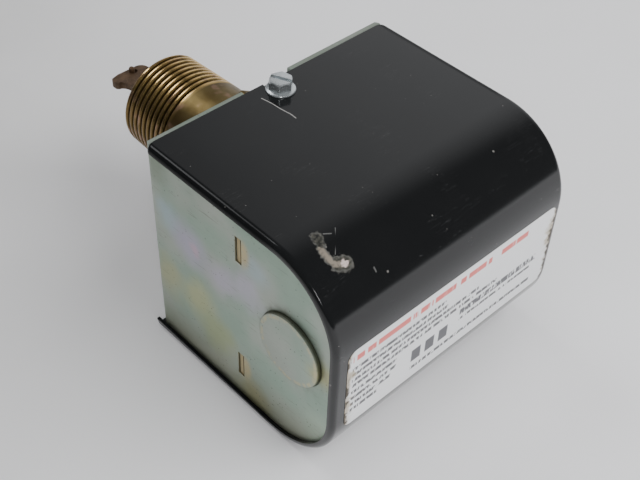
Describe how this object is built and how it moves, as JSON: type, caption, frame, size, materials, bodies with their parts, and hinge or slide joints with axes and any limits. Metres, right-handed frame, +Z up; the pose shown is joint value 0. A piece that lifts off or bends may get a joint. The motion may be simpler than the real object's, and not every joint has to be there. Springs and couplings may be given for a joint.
{
  "type": "paddle flow switch",
  "caption": "Paddle flow switch: black wrapped cover over a plated frame, tapered brass pipe body and a pivoted lever that works a snap switch.",
  "frame": {"origin": "on the axis of the pipe body, at the outside face of the base plate", "axes": "+Y out through the pipe body, +Z up from the cover's bottom panel on which the part lies, +X towards the right end plate"},
  "size_m": [0.0892, 0.144, 0.0766],
  "materials": {
    "black_enamel": "gloss enamel, scratched",
    "zinc_plate": "zinc plated and chromated, iridescent",
    "zinc_screw": "bright zinc plate",
    "brass": "machined, slightly tarnished",
    "bellows_brass": "thin rolled brass",
    "bronze": "oxidised bronze",
    "spring_steel": "bright drawn steel",
    "phenolic": "moulded phenolic",
    "plunger_nylon": "moulded nylon",
    "fibre_sheet": "vulcanised fibre",
    "green_lacquer": "green lacquered steel"
  },
  "bodies": {
    "case": {"base_frame": "zinc_plate", "left_knockout": "zinc_plate", "right_knockout": "zinc_plate", "cover_screw": "zinc_screw", "pipe_body": "brass", "body_screws": "zinc_screw", "bellows": "bellows_brass", "lever_yoke": "zinc_screw", "pivot_pin": "spring_steel", "pin_clips": "spring_steel", "cross_panel": "zinc_plate", "switch_insulator": "fibre_sheet", "snap_switch": "phenolic", "switch_terminals": "brass", "terminal_screws": "zinc_screw", "switch_screws": "zinc_screw", "switch_nuts": "zinc_screw", "range_bracket": "zinc_screw", "bracket_rivets": "spring_steel", "range_spring": "spring_steel", "ground_screw": "green_lacquer"},
    "cover": {"cover": "black_enamel"},
    "lever": {"paddle_lever": "bronze", "bellows_collar": "bellows_brass", "paddle_locator": "bronze", "actuator_screw": "zinc_screw", "actuator_nut": "zinc_screw"},
    "plunger": {"switch_plunger": "plunger_nylon"},
    "adjuster": {"range_screw": "brass", "screw_retainer": "spring_steel"},
    "spring_nut": {"range_nut": "brass"}
  },
  "joints": [
    {"name": "paddle_swing", "type": "hinge", "parent": "case", "child": "lever", "pos_m": [0, -0.009, 0], "axis": [1, 0, 0], "range_deg": [0, 3.5], "stiffness_Nm_per_rad": 0.6, "springref_deg": -4.58, "deforming": ["bellows", "range_spring"]},
    {"name": "plunger_travel", "type": "slide", "parent": "case", "child": "plunger", "axis": [0, 0, 1], "range_m": [-0.00245, 0]},
    {"name": "range_screw_turn", "type": "hinge", "parent": "case", "child": "adjuster", "pos_m": [0, -0.04745, -0.02], "axis": [0, 0, 1], "range_deg": [-1810, 2530]},
    {"name": "range_nut_travel", "type": "slide", "parent": "case", "child": "spring_nut", "axis": [0, 0, 1], "range_m": [-0.0049, 0.0035], "deforming": ["range_spring"]},
    {"name": "cover_slide", "type": "slide", "parent": "case", "child": "cover", "axis": [0, -1, 0], "range_m": [0, 0.078]}
  ],
  "couplings": [
    {"joint": "plunger_travel", "follows": "paddle_swing", "m_per_rad": -0.03845},
    {"joint": "range_screw_turn", "follows": "range_nut_travel", "rad_per_m": -8976}
  ]
}
